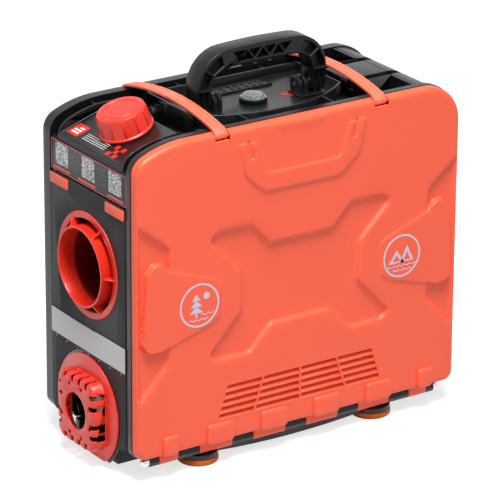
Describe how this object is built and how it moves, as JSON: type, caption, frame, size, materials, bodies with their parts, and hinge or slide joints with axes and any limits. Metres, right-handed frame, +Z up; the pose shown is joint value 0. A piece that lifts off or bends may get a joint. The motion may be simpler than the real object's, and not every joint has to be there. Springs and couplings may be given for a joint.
{
  "type": "portable diesel air heater",
  "caption": "Suitcase-shaped diesel air heater with clip-on side covers, carrying handle, filler cap, warm air collar and a round intake grille.",
  "frame": {"origin": "on the ground, under the middle of the box round the whole heater", "axes": "+X along the long side away from the filler end, +Y to the back, +Z up"},
  "size_m": [0.4408, 0.202, 0.4439],
  "materials": {
    "black_plastic": "satin textured",
    "satin_black": "satin",
    "charcoal": "fine grain",
    "red_plastic": "satin",
    "strap_red": "satin",
    "deep_red": "gloss",
    "orange_pad": "matt",
    "chrome": "polished",
    "silver_film": "reflective film",
    "aluminium": "satin",
    "steel": "satin",
    "tank_white": "natural",
    "rubber": "matt",
    "clear": "clear",
    "compass_green": "printed"
  },
  "bodies": {
    "heater_body": {"main_frame": "black_plastic", "top_deck": "black_plastic", "bottom_pan": "black_plastic", "foot_base_front_left": "black_plastic", "foot_base_front_right": "black_plastic", "foot_base_rear_left": "black_plastic", "foot_base_rear_right": "black_plastic", "intake_ring": "black_plastic", "heater_jacket": "black_plastic", "label_plate": "satin_black", "handle_bracket_left": "satin_black", "handle_bracket_right": "satin_black", "compass_housing": "satin_black", "end_panel": "charcoal", "control_unit": "charcoal", "accent_tab_front": "red_plastic", "accent_tab_rear": "red_plastic", "intake_grille": "red_plastic", "duct_collar": "deep_red", "air_duct": "deep_red", "foot_pad_front_left": "orange_pad", "foot_pad_front_right": "orange_pad", "foot_pad_rear_left": "orange_pad", "foot_pad_rear_right": "orange_pad", "front_hinge_pin": "chrome", "rear_hinge_pin": "chrome", "front_hinge_nut_left": "chrome", "front_hinge_nut_right": "chrome", "rear_hinge_nut_left": "chrome", "rear_hinge_nut_right": "chrome", "tank_breather": "chrome", "reflector_strip": "silver_film", "heat_exchanger": "aluminium", "fan_motor": "steel", "burner_chamber": "steel", "glow_plug": "steel", "exhaust_pipe": "steel", "fuel_pump": "steel", "handle_pin_left": "steel", "handle_pin_right": "steel", "fuel_tank": "tank_white", "tank_hose": "rubber", "pump_hose": "rubber", "burner_hose": "rubber", "combustion_air_pipe": "rubber", "fuel_filter": "clear", "compass_dome": "clear"},
    "front_cover": {"front_cover": "red_plastic"},
    "rear_cover": {"rear_cover": "black_plastic"},
    "strap_front_left": {"strap_front_left": "strap_red"},
    "strap_front_right": {"strap_front_right": "strap_red"},
    "strap_rear_left": {"strap_rear_left": "strap_red"},
    "strap_rear_right": {"strap_rear_right": "strap_red"},
    "handle": {"carry_handle": "satin_black"},
    "cap": {"fuel_cap": "red_plastic", "cap_seal": "rubber"},
    "fan": {"fan_impeller": "silver_film", "fan_shaft": "steel", "burner_fan": "aluminium"},
    "compass_card": {"compass_card": "compass_green"}
  },
  "joints": [
    {"name": "front_cover_hinge", "type": "hinge", "parent": "heater_body", "child": "front_cover", "pos_m": [0.0094, -0.083, 0.02], "axis": [1, 0, 0], "range_deg": [0, 90]},
    {"name": "rear_cover_hinge", "type": "hinge", "parent": "heater_body", "child": "rear_cover", "pos_m": [0.0094, 0.083, 0.02], "axis": [-1, 0, 0], "range_deg": [0, 90]},
    {"name": "strap_front_left_lift", "type": "hinge", "parent": "front_cover", "child": "strap_front_left", "pos_m": [-0.0936, -0.0912, 0.3775], "axis": [1, 0, 0], "range_deg": [0, 75]},
    {"name": "strap_front_right_lift", "type": "hinge", "parent": "front_cover", "child": "strap_front_right", "pos_m": [0.1124, -0.0912, 0.3775], "axis": [1, 0, 0], "range_deg": [0, 75]},
    {"name": "strap_rear_left_lift", "type": "hinge", "parent": "rear_cover", "child": "strap_rear_left", "pos_m": [-0.0936, 0.0912, 0.3775], "axis": [-1, 0, 0], "range_deg": [0, 75]},
    {"name": "strap_rear_right_lift", "type": "hinge", "parent": "rear_cover", "child": "strap_rear_right", "pos_m": [0.1124, 0.0912, 0.3775], "axis": [-1, 0, 0], "range_deg": [0, 75]},
    {"name": "handle_fold", "type": "hinge", "parent": "heater_body", "child": "handle", "pos_m": [0.0094, -0.007, 0.384], "axis": [-1, 0, 0], "range_deg": [0, 85]},
    {"name": "fuel_cap_turn", "type": "hinge", "parent": "heater_body", "child": "cap", "pos_m": [-0.1526, 0, 0.37], "axis": [-0.309, 0, 0.9511], "range_deg": [0, 180]},
    {"name": "fan_spin", "type": "hinge", "parent": "heater_body", "child": "fan", "pos_m": [0.0094, 0, 0.059], "axis": [1, 0, 0], "continuous": true},
    {"name": "compass_spin", "type": "hinge", "parent": "heater_body", "child": "compass_card", "pos_m": [0.0124, 0.004, 0.371], "axis": [0, 0, 1], "continuous": true}
  ]
}
